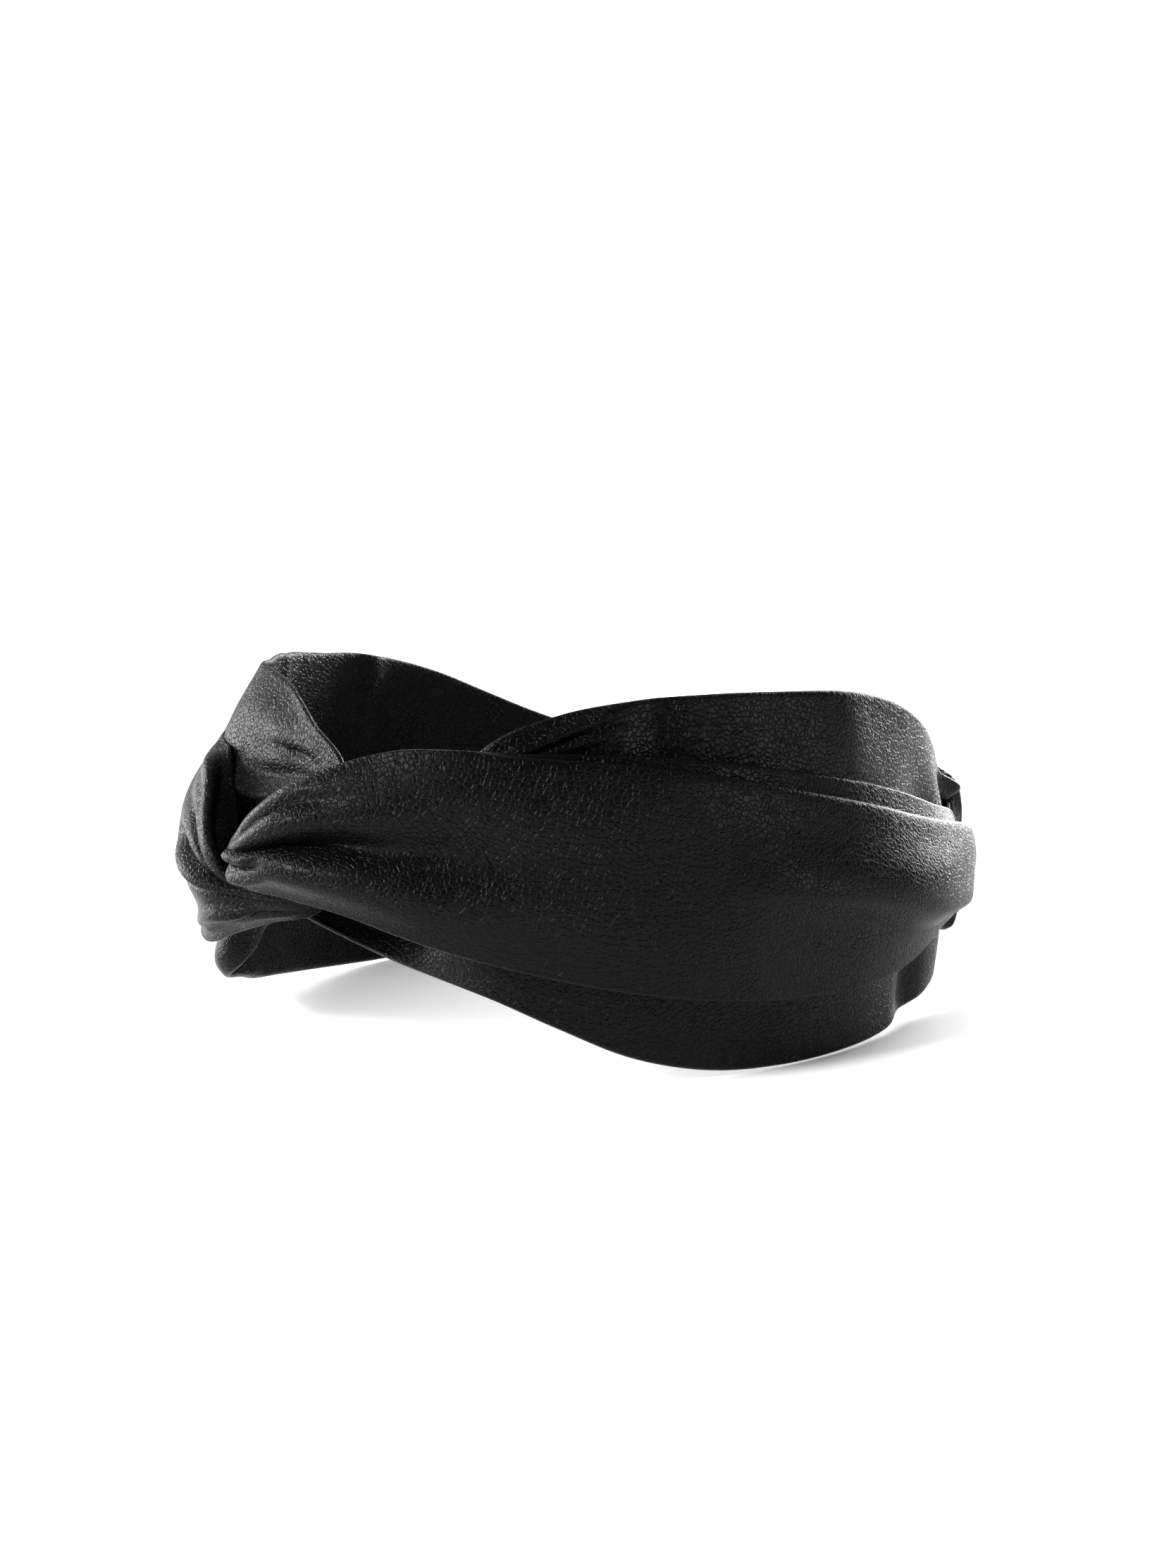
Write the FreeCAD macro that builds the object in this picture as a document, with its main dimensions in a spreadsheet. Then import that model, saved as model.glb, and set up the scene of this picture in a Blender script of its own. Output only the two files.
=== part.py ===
"""Knotted headband: two soft straps linked at a front knot and joined at the back by a covered elastic.

The front of the headband, where the knot is, faces -Y, and +Z is up. The wearer's left is +X.
Each strap is a flattened tube folded in half: an outer leg, an inner leg and the loop between them.
A strap is parted where it starts to bend at the knot, so that each side can swing outwards.
The plan origin is the middle of the ring, and the headband stands on z = 0. Lengths are in millimetres.
"""

import FreeCAD, Part
import math
import os
import Sketcher

# Sizes that can be set by themselves: alias, value, meaning.
SIZES = [
    ("side_radius", 97.0, "plan radius of each side, on the line between its two legs"),
    ("side_ahead", 4.5, "how far the side arcs' centres lie behind the plan origin"),
    ("back_radius", 55.0, "plan radius of the back, on the line between the legs"),
    ("arc_meeting", 42.4306, "plan angle at which the side arc runs into the back arc, in degrees"),
    ("leg_thickness", 3.2, "thickness of one leg, two plies and the air between them"),
    ("bunch_thickness", 8.4, "gathered strap at the knot, across its loop"),
    ("bunch_width", 18.4, "gathered strap at the knot, along the other loop"),
    ("loop_radius", 16.5, "bend radius of each loop's centreline"),
    ("loop_clearance", 1.0, "free play between the two loops"),
    ("loop_reach", 15.5, "how far each loop reaches from the middle plane to its legs"),
    ("loop_tilt", 30.0, "turn of the left loop out of the level plane, in degrees"),
    ("knot_lead", 8.6181, "how far the knot's centre lies in front of the first stations"),
    ("knot_height", 41.0, "height of the knot's centre"),
    ("bend_gap", 5.0, "gap between a loop and a leg, where the strap bends"),
    ("knot_turn", -80.0, "plan angle across a leg at the knot, from the +X direction"),
    ("join_turn", 44.0, "turn along the back arc from the middle to a strap's end"),
    ("end_run", 16.0, "straight run at a strap's end, where the elastic is sewn in"),
    ("elastic_thickness", 1.0, "woven elastic"),
    ("elastic_width", 24.0, "height of the elastic"),
    ("elastic_tuck", 11.0, "length of elastic caught inside each strap's end"),
    ("elastic_play", 0.15, "gap between the elastic and each leg"),
    ("back_height", 29.0, "height of the elastic's middle"),
    ("casing_width", 34.0, "height of the gathered casing"),
    ("casing_thickness", 7.6, "outside thickness of the gathered casing"),
    ("casing_wall", 2.2, "gathered fabric on each side of the elastic"),
    ("casing_gap", 0.4, "gap between the casing and each strap's end"),
    ("bore_overrun", 2.0, "how far the casing's bore is cut past each end of it, in degrees"),
    ("thread_radius", 0.35, "radius of the sewing thread"),
    ("needle_play", 0.12, "gap round the thread in a needle hole"),
    ("stitch_pitch", 4.0, "distance from one needle hole to the next"),
    ("stitch_inset", 5.0, "distance from a strap's end to its row of stitches"),
    ("stitch_proud", 0.5, "how far a stitch stands out of each leg"),
    ("foot_trim", 1.0, "how much is flattened off the resting edge of an inner leg"),
]

# Plan angles of the stations along a side arc, from the +X direction, and the thickness of the leg there.
STATIONS = [(-44.0, 1.25), (-26.0, 1.0), (-8.0, 1.0), (10.0, 1.0), (24.0, 1.0)]
RESTING_STATIONS = (3, 4)
STITCH_COUNT = 5

# Lowest and highest edge of each leg: at the knot, at each station, at the straight run and at the strap's end.
EDGES = {
    "left_outer": [(41, 61), (27, 64.5), (19, 61), (15, 55.5), (15, 49), (15, 45), (14, 43.5), (13, 43)],
    "left_inner": [(23, 43), (19, 64), (6, 73.5), (0, 73), (0, 69.5), (2, 63), (7, 54), (12, 46)],
    "right_outer": [(19, 41), (10, 58), (8, 62), (12, 60), (14, 54), (14, 49), (14, 45), (13, 43)],
    "right_inner": [(42, 62), (8, 68.5), (4, 72), (0, 69), (0, 59), (2, 52), (7, 47.5), (12, 46)],
}

# Rough places for new sketch geometry, which its dimensions then move.
SEED_LOW, SEED_HIGH, SEED_NEAR, SEED_FAR = 20.0, 40.0, 90.0, 99.0
SEED_HALF_LEVEL, SEED_HALF_UP = 2.0, 6.0
SEED_HOLE_PITCH, SEED_HOLE_RADIUS = 5.0, 0.4
SEED_TAIL = 8.0

doc = FreeCAD.newDocument("knotted_headband")
sheet = doc.addObject("Spreadsheet::Sheet", "Sizes")


def put_in_sheet():
    """Writes the driving dimensions to the sheet, each with an alias."""
    rows = [*SIZES]
    for number, (angle, share) in enumerate(STATIONS, 1):
        rows.append((f"station_angle_{number}", angle, "plan angle of a station"))
        rows.append((f"station_share_{number}", share, "leg thickness there, as a share"))
    for leg, edges in EDGES.items():
        for number, (low, high) in enumerate(edges):
            rows.append((f"{leg}_low_{number}", low, "lower edge of the leg at a station"))
            rows.append((f"{leg}_high_{number}", high, "upper edge of the leg at a station"))
    for row, (alias, value, meaning) in enumerate(rows, 1):
        sheet.set(f"A{row}", meaning)
        sheet.set(f"B{row}", str(value))
        sheet.setAlias(f"B{row}", alias)
    doc.recompute()


def cell(text):
    """An expression in which each {alias} is a cell of the sheet."""
    return text.replace("{", "Sizes.").replace("}", "")


# Plan geometry shared by several pieces, as expressions.
SIDE_SHIFT = "(({side_radius} - {back_radius}) * cos({arc_meeting} * 1 deg))"
BACK_CENTRE = "({side_ahead} + ({side_radius} - {back_radius}) * sin({arc_meeting} * 1 deg))"
KNOT_AHEAD = "({knot_lead} - {side_ahead} - {side_radius} * sin({station_angle_1} * 1 deg))"
LEG_OFFSET = "({elastic_thickness} / 2 + {elastic_play} + {leg_thickness} / 2)"
END_ANGLE = "(90 - {join_turn})"


def new_body(name):
    body = doc.addObject("PartDesign::Body", name)
    body.Label = name
    return body


def origin_plane(body, role):
    return next(feature for feature in body.Origin.OriginFeatures if feature.Role == role)


def new_sketch(body, name, role):
    """A sketch on one of the body's origin planes."""
    sketch = body.newObject("Sketcher::SketchObject", name)
    sketch.AttachmentSupport = [(origin_plane(body, role), "")]
    sketch.MapMode = "FlatFace"
    return sketch


def upright_sketch(body, name, x, y, z, turn):
    """A sketch in an upright plane: its own x runs level along the plan angle turn, and its own y is up."""
    sketch = new_sketch(body, name, "XZ_Plane")
    sketch.AttachmentOffset = FreeCAD.Placement(
        FreeCAD.Vector(0, 0, 0), FreeCAD.Rotation(FreeCAD.Vector(0, 1, 0), 1.0)
    )
    sketch.setExpression("AttachmentOffset.Base.x", cell(x))
    sketch.setExpression("AttachmentOffset.Base.y", cell(z))
    sketch.setExpression("AttachmentOffset.Base.z", cell(f"-({y})"))
    sketch.setExpression("AttachmentOffset.Rotation.Angle", cell(turn))
    return sketch


def bind(sketch, constraint, text):
    """Adds a dimension whose value is an expression of the sheet."""
    number = sketch.addConstraint(constraint)
    sketch.setExpression(f"Constraints[{number}]", cell(text))


def add_ellipse(sketch, half_level, half_up, centre):
    """An upright ellipse, a distance along the sketch's x axis."""
    start = FreeCAD.Vector(sheet.loop_radius, 0, 0)
    top = start + FreeCAD.Vector(0, SEED_HALF_UP, 0)
    flank = start - FreeCAD.Vector(SEED_HALF_LEVEL, 0, 0)
    curve = sketch.addGeometry(Part.Ellipse(top, flank, start), False)
    sketch.exposeInternalGeometry(curve)
    major, minor = curve + 1, curve + 2
    sketch.addConstraint(Sketcher.Constraint("PointOnObject", curve, 3, -1))
    bind(sketch, Sketcher.Constraint("DistanceX", -1, 1, curve, 3, start.x), centre)
    sketch.addConstraint(Sketcher.Constraint("Vertical", major))
    bind(sketch, Sketcher.Constraint("Distance", major, 2 * SEED_HALF_UP), f"2 * ({half_up})")
    bind(sketch, Sketcher.Constraint("Distance", minor, 2 * SEED_HALF_LEVEL), f"2 * ({half_level})")


def add_rectangle(sketch, x, y, width, height):
    """A rectangle centred on a point of the sketch."""
    places = [(SEED_NEAR, SEED_LOW), (SEED_FAR, SEED_LOW), (SEED_FAR, SEED_HIGH), (SEED_NEAR, SEED_HIGH)]
    corners = [FreeCAD.Vector(*place, 0) for place in places]
    for start, end in zip(corners, corners[1:] + corners[:1]):
        sketch.addGeometry(Part.LineSegment(start, end), False)
    for edge in range(4):
        sketch.addConstraint(Sketcher.Constraint("Coincident", edge, 2, (edge + 1) % 4, 1))
    for edge, direction in enumerate(("Horizontal", "Vertical", "Horizontal", "Vertical")):
        sketch.addConstraint(Sketcher.Constraint(direction, edge))
    bind(sketch, Sketcher.Constraint("DistanceX", 0, 1, 0, 2, SEED_FAR - SEED_NEAR), width)
    bind(sketch, Sketcher.Constraint("DistanceY", 1, 1, 1, 2, SEED_HIGH - SEED_LOW), height)
    bind(sketch, Sketcher.Constraint("DistanceX", -1, 1, 0, 1, SEED_NEAR), f"({x}) - ({width}) / 2")
    bind(sketch, Sketcher.Constraint("DistanceY", -1, 1, 0, 1, SEED_LOW), f"({y}) - ({height}) / 2")


def side_point(offset, angle):
    """Plan x and y on a left side arc that is offset outwards, as expressions."""
    x = f"(({{side_radius}} + {offset}) * cos({angle} * 1 deg) - {SIDE_SHIFT})"
    y = f"({{side_ahead}} + ({{side_radius}} + {offset}) * sin({angle} * 1 deg))"
    return x, y


def end_point(offset, back_off):
    """Plan x and y on the left strap's straight run, a distance before the strap's end."""
    turn = "({join_turn} * 1 deg)"
    x = f"(({{back_radius}} + {offset}) * sin{turn} + {back_off} * cos{turn})"
    y = f"({BACK_CENTRE} + ({{back_radius}} + {offset}) * cos{turn} - {back_off} * sin{turn})"
    return x, y


def loop_end(leg):
    """Plan x and y of the leg's end at the knot: in line with the end of its loop."""
    outwards = 1 if leg.endswith("outer") else -1
    spread = "cos" if leg.startswith("left") else "sin"
    x = "({loop_reach} + {bend_gap})"
    y = f"(-{KNOT_AHEAD} - {outwards} * {{loop_radius}} * {spread}({{loop_tilt}} * 1 deg))"
    return x, y


def side_sign(name):
    return 1 if name.startswith("left") else -1


def mirrored(side, x, y, turn):
    """The left strap's place and plan angle, or the right strap's, across the middle plane."""
    return f"{side} * {x}", y, turn if side > 0 else f"(180 - ({turn}))"


def leg_places(leg):
    """Where a leg's sections stand: plan x, y and angle, and the leg's thickness there."""
    offset = f"{1 if leg.endswith('outer') else -1} * {LEG_OFFSET}"
    places = [(*loop_end(leg), "{knot_turn}", "{bunch_thickness} / {leg_thickness}")]
    for number in range(1, len(STATIONS) + 1):
        angle, share = f"{{station_angle_{number}}}", f"{{station_share_{number}}}"
        places.append((*side_point(f"({offset}) * {share}", angle), angle, share))
    places.append((*end_point(offset, "{end_run}"), END_ANGLE, "1"))
    places.append((*end_point(offset, "0"), END_ANGLE, "1"))
    return places


def add_circle(sketch, number, radius):
    """A circle on the sketch's y axis, at the level of a numbered stitch."""
    start = SEED_HOLE_PITCH * (number - (STITCH_COUNT - 1) / 2)
    centre, upright = FreeCAD.Vector(0, start, 0), FreeCAD.Vector(0, 0, 1)
    curve = sketch.addGeometry(Part.Circle(centre, upright, SEED_HOLE_RADIUS), False)
    level = f"({number} - ({STITCH_COUNT} - 1) / 2) * {{stitch_pitch}}"
    sketch.addConstraint(Sketcher.Constraint("PointOnObject", curve, 3, -2))
    bind(sketch, Sketcher.Constraint("DistanceY", -1, 1, curve, 3, start), level)
    bind(sketch, Sketcher.Constraint("Radius", curve, SEED_HOLE_RADIUS), radius)


def needle_plane(body, name, side):
    """An upright sketch across the stitches of one side, facing along them."""
    x, y = end_point("0", "{stitch_inset}")
    place = mirrored(side, x, y, f"({END_ANGLE} + 90)")
    return upright_sketch(body, name, place[0], place[1], "{back_height}", place[2])


def add_needle_holes(body, side, name):
    """Needle holes through the stack at one strap's end."""
    sketch = needle_plane(body, name, side)
    for number in range(STITCH_COUNT):
        add_circle(sketch, number, "{thread_radius} + {needle_play}")
    pocket = body.newObject("PartDesign::Pocket", f"{name}_pocket")
    pocket.Profile = sketch
    pocket.Midplane = True
    pocket.setExpression("Length", cell("4 * {leg_thickness} + {elastic_thickness}"))
    return pocket


def add_leg(leg):
    """One leg of a strap: a loft through upright rectangles from the knot to the strap's end."""
    side = side_sign(leg)
    body = new_body(f"{leg}_leg")
    sections = []
    for number, (x, y, turn, share) in enumerate(leg_places(leg)):
        low, high = f"{{{leg}_low_{number}}}", f"{{{leg}_high_{number}}}"
        if leg.endswith("inner") and number in RESTING_STATIONS:
            low = f"({low} - {{foot_trim}})"
        x, y, turn = mirrored(side, x, y, turn)
        sketch = upright_sketch(body, f"{leg}_section_{number}", x, y, f"({low} + {high}) / 2", turn)
        add_rectangle(sketch, "0", "0", f"{{leg_thickness}} * {share}", f"({high} - {low})")
        sections.append(sketch)
    loft = body.newObject("PartDesign::AdditiveLoft", f"{leg}_loft")
    loft.Profile = (sections[0], [""])
    loft.Sections = [(section, [""]) for section in sections[1:]]
    loft.Ruled = True
    if leg.endswith("inner"):
        flatten_foot(body, leg)
    add_needle_holes(body, side, f"{leg}_needle")


def flatten_foot(body, leg):
    """Cuts off what reaches below z = 0, so that the leg has a flat edge to stand on."""
    sketch = new_sketch(body, f"{leg}_foot", "XZ_Plane")
    add_rectangle(sketch, "0", "-2 * {foot_trim}", "4 * {side_radius}", "4 * {foot_trim}")
    pocket = body.newObject("PartDesign::Pocket", f"{leg}_foot_pocket")
    pocket.Profile = sketch
    pocket.Midplane = True
    pocket.setExpression("Length", cell("4 * {side_radius}"))


def add_loop(name):
    """The bend of a strap round the other strap: a flat bunch swept along a U."""
    side = side_sign(name)
    body = new_body(name)
    apex = "({bunch_thickness} + {loop_clearance}) / 2"
    bend = f"({{loop_radius}} - {apex})"
    path = new_sketch(body, f"{name}_path", "XY_Plane")
    radius, reach = sheet.loop_radius, side * sheet.loop_reach
    middle = side * (radius - (sheet.bunch_thickness + sheet.loop_clearance) / 2)
    start = math.pi / 2 if side > 0 else -math.pi / 2
    circle = Part.Circle(FreeCAD.Vector(middle, 0, 0), FreeCAD.Vector(0, 0, 1), radius)
    arc = path.addGeometry(Part.ArcOfCircle(circle, start, start + math.pi), False)
    for number, level in enumerate((radius * side, -radius * side), 1):
        line = path.addGeometry(
            Part.LineSegment(FreeCAD.Vector(middle, level, 0), FreeCAD.Vector(reach, level, 0)), False
        )
        path.addConstraint(Sketcher.Constraint("Coincident", line, 1, arc, number))
        path.addConstraint(Sketcher.Constraint("Horizontal", line))
        bind(path, Sketcher.Constraint("DistanceX", -1, 1, line, 2, reach), f"{side} * {{loop_reach}}")
    path.addConstraint(Sketcher.Constraint("PointOnObject", arc, 3, -1))
    path.addConstraint(Sketcher.Constraint("Vertical", arc, 1, arc, 3))
    path.addConstraint(Sketcher.Constraint("Vertical", arc, 2, arc, 3))
    bind(path, Sketcher.Constraint("DistanceX", -1, 1, arc, 3, middle), f"{side} * {bend}")
    bind(path, Sketcher.Constraint("Radius", arc, radius), "{loop_radius}")
    profile = new_sketch(body, f"{name}_profile", "YZ_Plane")
    profile.setExpression("AttachmentOffset.Base.z", cell(f"{side} * {{loop_reach}}"))
    add_ellipse(profile, "{bunch_thickness} / 2", "{bunch_width} / 2", "{loop_radius}")
    pipe = body.newObject("PartDesign::AdditivePipe", f"{name}_pipe")
    pipe.Profile = (profile, [""])
    pipe.Spine = (path, [""])
    body.Placement = FreeCAD.Placement(
        FreeCAD.Vector(0, 0, 0), FreeCAD.Rotation(FreeCAD.Vector(1, 0, 0), 1.0)
    )
    tilt = "-{loop_tilt}" if side > 0 else "90 - {loop_tilt}"
    body.setExpression("Placement.Base.y", cell(f"-{KNOT_AHEAD}"))
    body.setExpression("Placement.Base.z", cell("{knot_height}"))
    body.setExpression("Placement.Rotation.Angle", cell(tilt))


def add_elastic():
    """The woven elastic: along the back arc, then straight into each strap's end."""
    body = new_body("back_elastic")
    path = new_sketch(body, "elastic_path", "XY_Plane")
    radius, turn = sheet.back_radius, math.radians(sheet.join_turn)
    half_span, drop = radius * math.sin(turn), radius * math.cos(turn)
    circle = Part.Circle(FreeCAD.Vector(0, 0, 0), FreeCAD.Vector(0, 0, 1), radius)
    start, end = math.pi / 2 - turn, math.pi / 2 + turn
    arc = path.addGeometry(Part.ArcOfCircle(circle, start, end), False)
    path.addConstraint(Sketcher.Constraint("PointOnObject", arc, 3, -2))
    bind(path, Sketcher.Constraint("DistanceY", -1, 1, arc, 3, 0.0), BACK_CENTRE)
    bind(path, Sketcher.Constraint("Radius", arc, radius), "{back_radius}")
    for point, side in ((1, 1), (2, -1)):
        line = path.addGeometry(
            Part.LineSegment(
                FreeCAD.Vector(side * half_span, drop, 0),
                FreeCAD.Vector(side * (half_span + SEED_TAIL), drop - SEED_TAIL, 0),
            ),
            False,
        )
        path.addConstraint(Sketcher.Constraint("Tangent", line, 1, arc, point))
        bind(path, Sketcher.Constraint("Distance", line, SEED_TAIL), "{elastic_tuck}")
        bind(
            path,
            Sketcher.Constraint("DistanceX", -1, 1, arc, point, side * half_span),
            f"{side} * {{back_radius}} * sin({{join_turn}} * 1 deg)",
        )
    x, y = end_point("0", "{elastic_tuck}")
    profile = upright_sketch(body, "elastic_profile", x, y, "{back_height}", END_ANGLE)
    add_rectangle(profile, "0", "0", "{elastic_thickness}", "{elastic_width}")
    pipe = body.newObject("PartDesign::AdditivePipe", "elastic_pipe")
    pipe.Profile = (profile, [""])
    pipe.Spine = (path, [""])
    for side, name in ((1, "elastic_left_needle"), (-1, "elastic_right_needle")):
        add_needle_holes(body, side, name)


def add_casing():
    """The gathered cover of the elastic: a flat tube turned about the back's centre."""
    body = new_body("back_casing")
    sketch = new_sketch(body, "casing_section", "YZ_Plane")
    reach = f"({BACK_CENTRE} + {{back_radius}})"
    slot = "({casing_thickness} - 2 * {casing_wall})"
    add_rectangle(sketch, reach, "{back_height}", "{casing_thickness}", "{casing_width}")
    revolve_round_back(body, sketch, "casing")
    bore = new_sketch(body, "casing_bore", "YZ_Plane")
    add_rectangle(bore, reach, "{back_height}", slot, "{casing_width} - 2 * {casing_wall}")
    revolve_round_back(body, bore, "casing_bore", groove=True)


def revolve_round_back(body, sketch, name, groove=False):
    """Turns a section about the upright axis of the back arc, evenly to both sides."""
    foot, head = FreeCAD.Vector(SEED_LOW, 0, 0), FreeCAD.Vector(SEED_LOW, SEED_HIGH, 0)
    axis = sketch.addGeometry(Part.LineSegment(foot, head), True)
    sketch.addConstraint(Sketcher.Constraint("Vertical", axis))
    sketch.addConstraint(Sketcher.Constraint("PointOnObject", axis, 1, -1))
    bind(sketch, Sketcher.Constraint("DistanceY", axis, 1, axis, 2, SEED_HIGH), "{casing_width}")
    bind(sketch, Sketcher.Constraint("DistanceX", -1, 1, axis, 1, SEED_LOW), BACK_CENTRE)
    kind = "PartDesign::Groove" if groove else "PartDesign::Revolution"
    feature = body.newObject(kind, f"{name}_turn")
    feature.Profile = sketch
    feature.ReferenceAxis = (sketch, ["Axis0"])
    feature.Midplane = True
    gap = "{casing_gap} / {back_radius} * 180 / pi"
    overrun = "{bore_overrun}" if groove else "0"
    feature.setExpression("Angle", cell(f"2 * ({{join_turn}} - {gap} + {overrun})"))


def add_stitches(name):
    """A row of stitches that holds both legs and the elastic together at a strap's end."""
    side = side_sign(name)
    body = new_body(name)
    for number in range(STITCH_COUNT):
        sketch = needle_plane(body, f"{name}_{number}", side)
        add_circle(sketch, number, "{thread_radius}")
        pad = body.newObject("PartDesign::Pad", f"{name}_pad_{number}")
        pad.Profile = sketch
        pad.Midplane = True
        pad.setExpression("Length", cell(f"2 * ({LEG_OFFSET} + {{leg_thickness}} / 2 + {{stitch_proud}})"))


def check(pieces):
    """Stops unless every object of the document and every piece's shape is sound."""
    for item in doc.Objects:
        if "Invalid" in item.State or "Error" in item.State:
            raise RuntimeError(f"{item.Label} did not compute: {item.State}")
    for piece in pieces:
        if piece.Shape.isNull() or not piece.Shape.isValid():
            raise RuntimeError(f"{piece.Label} has no sound shape")


put_in_sheet()
for leg_name in EDGES:
    add_leg(leg_name)
for loop_name in ("left_knot_loop", "right_knot_loop"):
    add_loop(loop_name)
add_elastic()
add_casing()
for row_name in ("left_join_stitches", "right_join_stitches"):
    add_stitches(row_name)
doc.recompute()

bodies = [item for item in doc.Objects if item.TypeId == "PartDesign::Body"]
check(bodies)
os.makedirs("parts", exist_ok=True)
for piece in bodies:
    piece.Shape.exportStep(f"parts/{piece.Label}.step")
    print(f"{piece.Label}: {piece.Shape.Volume / 1000:.2f} cm3, {len(piece.Shape.Solids)} solid(s)")
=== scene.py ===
"""Looks of the knotted headband: straps, casing, elastic and stitches in soft black faux leather.

Shapes are worked out in millimetres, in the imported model's frame, and turned into metres in the
meshes. A strap is one sheet. Its long way runs from its end at the back, along the outer leg, round
the knot and back along the inner leg. Its cross way v runs from -1 at the lower edge to 1 at the
upper edge.
"""

import bpy
import math
import numpy as np
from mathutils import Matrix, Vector


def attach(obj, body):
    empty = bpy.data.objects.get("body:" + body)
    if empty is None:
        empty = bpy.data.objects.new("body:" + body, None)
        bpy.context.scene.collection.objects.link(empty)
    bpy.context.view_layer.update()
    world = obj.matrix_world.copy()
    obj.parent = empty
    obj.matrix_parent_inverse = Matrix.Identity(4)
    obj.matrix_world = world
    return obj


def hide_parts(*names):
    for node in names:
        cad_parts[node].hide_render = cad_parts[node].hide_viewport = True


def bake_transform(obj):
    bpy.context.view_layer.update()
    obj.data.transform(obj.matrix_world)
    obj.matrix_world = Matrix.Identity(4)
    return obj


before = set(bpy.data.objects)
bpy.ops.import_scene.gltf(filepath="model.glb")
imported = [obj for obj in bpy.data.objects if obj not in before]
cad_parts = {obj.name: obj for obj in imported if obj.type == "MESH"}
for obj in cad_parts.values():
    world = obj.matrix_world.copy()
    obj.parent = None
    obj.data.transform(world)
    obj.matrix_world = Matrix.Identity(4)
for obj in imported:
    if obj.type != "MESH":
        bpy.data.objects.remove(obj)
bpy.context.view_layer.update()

# Lengths are in millimetres and angles in degrees, but flat sizes are in metres.
MM = 0.001

# The ring in plan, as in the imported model: two side arcs, joined by a tighter one at the back.
SIDE_RADIUS = 97.0
SIDE_SHIFT = 31.0
SIDE_Y = 4.5
BACK_RADIUS = 55.0
BACK_Y = SIDE_Y + math.sqrt((SIDE_RADIUS - BACK_RADIUS) ** 2 - SIDE_SHIFT**2)
TANGENT_ANGLE = 42.4
BACK_ANGLE = 90
BACK_HEIGHT = 29.0

# Straps: grid and thickness, and how sharp and wide a pleat is.
LEG_OFFSET = 2.25
ACROSS = 201
STRIDE = 0.9
LENGTH_SAMPLES = 2000
THICKNESS = 1.2
RIM_START = 0.96
STEP_WIDTH = 0.9
OVERLAP_REACH = 3.5
UNEVENNESS = 0.22

# The casing: a flat tube in two halves, narrowing where it tucks into the straps' ends.
CASING_END_ANGLE = 43.4
CASING_STEP = 0.4
CASING_AROUND = 96
CASING_HALF = (3.6, 17.0)
CASING_BORE_HALF = (1.3, 14.0)
CASING_SQUARENESS = (0.5, 0.6)
CASING_FLAT = (0.075, 0.055)
TUCK_SPREAD = 3.6
TUCK_SHARE = (0.42, 0.74)
BORE_TUCK = 0.3

# Gathers of the casing. A wander is how far it goes, its turn with height and with length, and its
# start. The finer gathers have their own turn with length, with the wander and with height.
GATHER_PITCH = 3.6
GATHER_DEPTH = 0.42
GATHER_SINK = 1.2
GATHER_RIM = 0.018
GATHER_EASE = 0.5
GATHER_WANDERS = ((1.2, 0.21, 0.0, 1.3), (0.7, 0.43, 0.15, 0.0))
FINE_GATHER_TURNS = (1.7, 1.5, 0.1)
FINE_GATHER_DEPTH = 0.45
FINE_GATHER_RIM = 0.5

# The elastic, from the middle of the back into the straps' ends.
ELASTIC_END_ANGLE = 34.7
ELASTIC_HALF_HEIGHT = 12.0
ELASTIC_THICKNESS = 1.0
ELASTIC_GRID = (70, 49)
ELASTIC_FLAT = (0.024, 0.053)

# Stitches: the strap's row they sit in, their spacing, and the thread.
STITCH_ROW = 6
STITCH_COUNT = 5
STITCH_PITCH = 4.0
THREAD_RADIUS = 0.35
THREAD_LIFT = 0.75
THREAD_STEPS = 6
THREAD_SMOOTHING = 2
CORD_SIDES = 12
CORD_ASIDE = (0.37, 0.61, 0.7)

# Shallow waves that keep the faces from being too even: turns along and across a strap, and start.
WAVES = ((0.9, 1.7, 0.3), (1.7, 2.9, 1.9), (2.6, 4.3, 4.0))

# Leather: cells and creases per metre, the grain's wander and bump in metres, and ranges of values.
GRAIN_CELLS, GRAIN_CREASES, GRAIN_PATCHES, GRAIN_WANDER = 980.0, 240.0, 55.0, 420.0
WANDER_REACH = (0.0009, 0.0009, 0.0009)
FURROW_WIDTH = 0.16
GRAIN_BUMP = {"Strength": 0.65, "Distance": 0.0008}
# The leather's black base colour, darkest in the grain's furrows: painted shade in the furrows.
LEATHER_TONE_AND_FURROW_SHADE = {"To Min": 0.0005, "To Max": 0.0013}
LEATHER_BLUE = 1.06
LEATHER_ROUGHNESS = {"To Min": 0.33, "To Max": 0.42}
LEATHER_SPECULAR = 0.07

# The elastic and the thread.
ELASTIC_COLOUR = (0.012, 0.012, 0.013, 1)
ELASTIC_BUMP = {"Strength": 0.6, "Distance": 0.0003}
THREAD_COLOUR = (0.016, 0.016, 0.017, 1)
THREAD_BUMP = {"Strength": 0.5, "Distance": 0.0001}

# The camera: its angles, lens, distance and aim.
CAMERA_AZIMUTH, CAMERA_ELEVATION = 47.7, 9.1
CAMERA_LENS, CAMERA_SENSOR = 66.7, 36
CAMERA_DISTANCE = 600
CAMERA_AIM = (2.05, -0.5, 47.8)

# The studio. A light: name, place, aim, size in metres, watts, and whether the leather mirrors it.
LIGHTS = [
    ("overhead", (-0.2, 0.2, 1.2), (-0.1, 0.1, 0), (2.2, 2.2), 27, False),
    ("front", (-0.05, -0.8, 0.5), (0, 0, 0.05), (0.35, 0.25), 15, True),
    ("left", (-0.85, -0.45, 0.2), (0, 0, 0.04), (0.9, 0.6), 28, True),
    ("right", (-0.3, 1.0, 0.3), (0.05, 0, 0.04), (0.5, 0.5), 16, True),
    ("far right", (0.9, 0.38, 0.12), (0.05, 0, 0.04), (0.2, 0.15), 3, True),
]
FLOOR_HALF = 700
PAPER_COLOUR = (0.94, 0.94, 0.94, 1)

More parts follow.
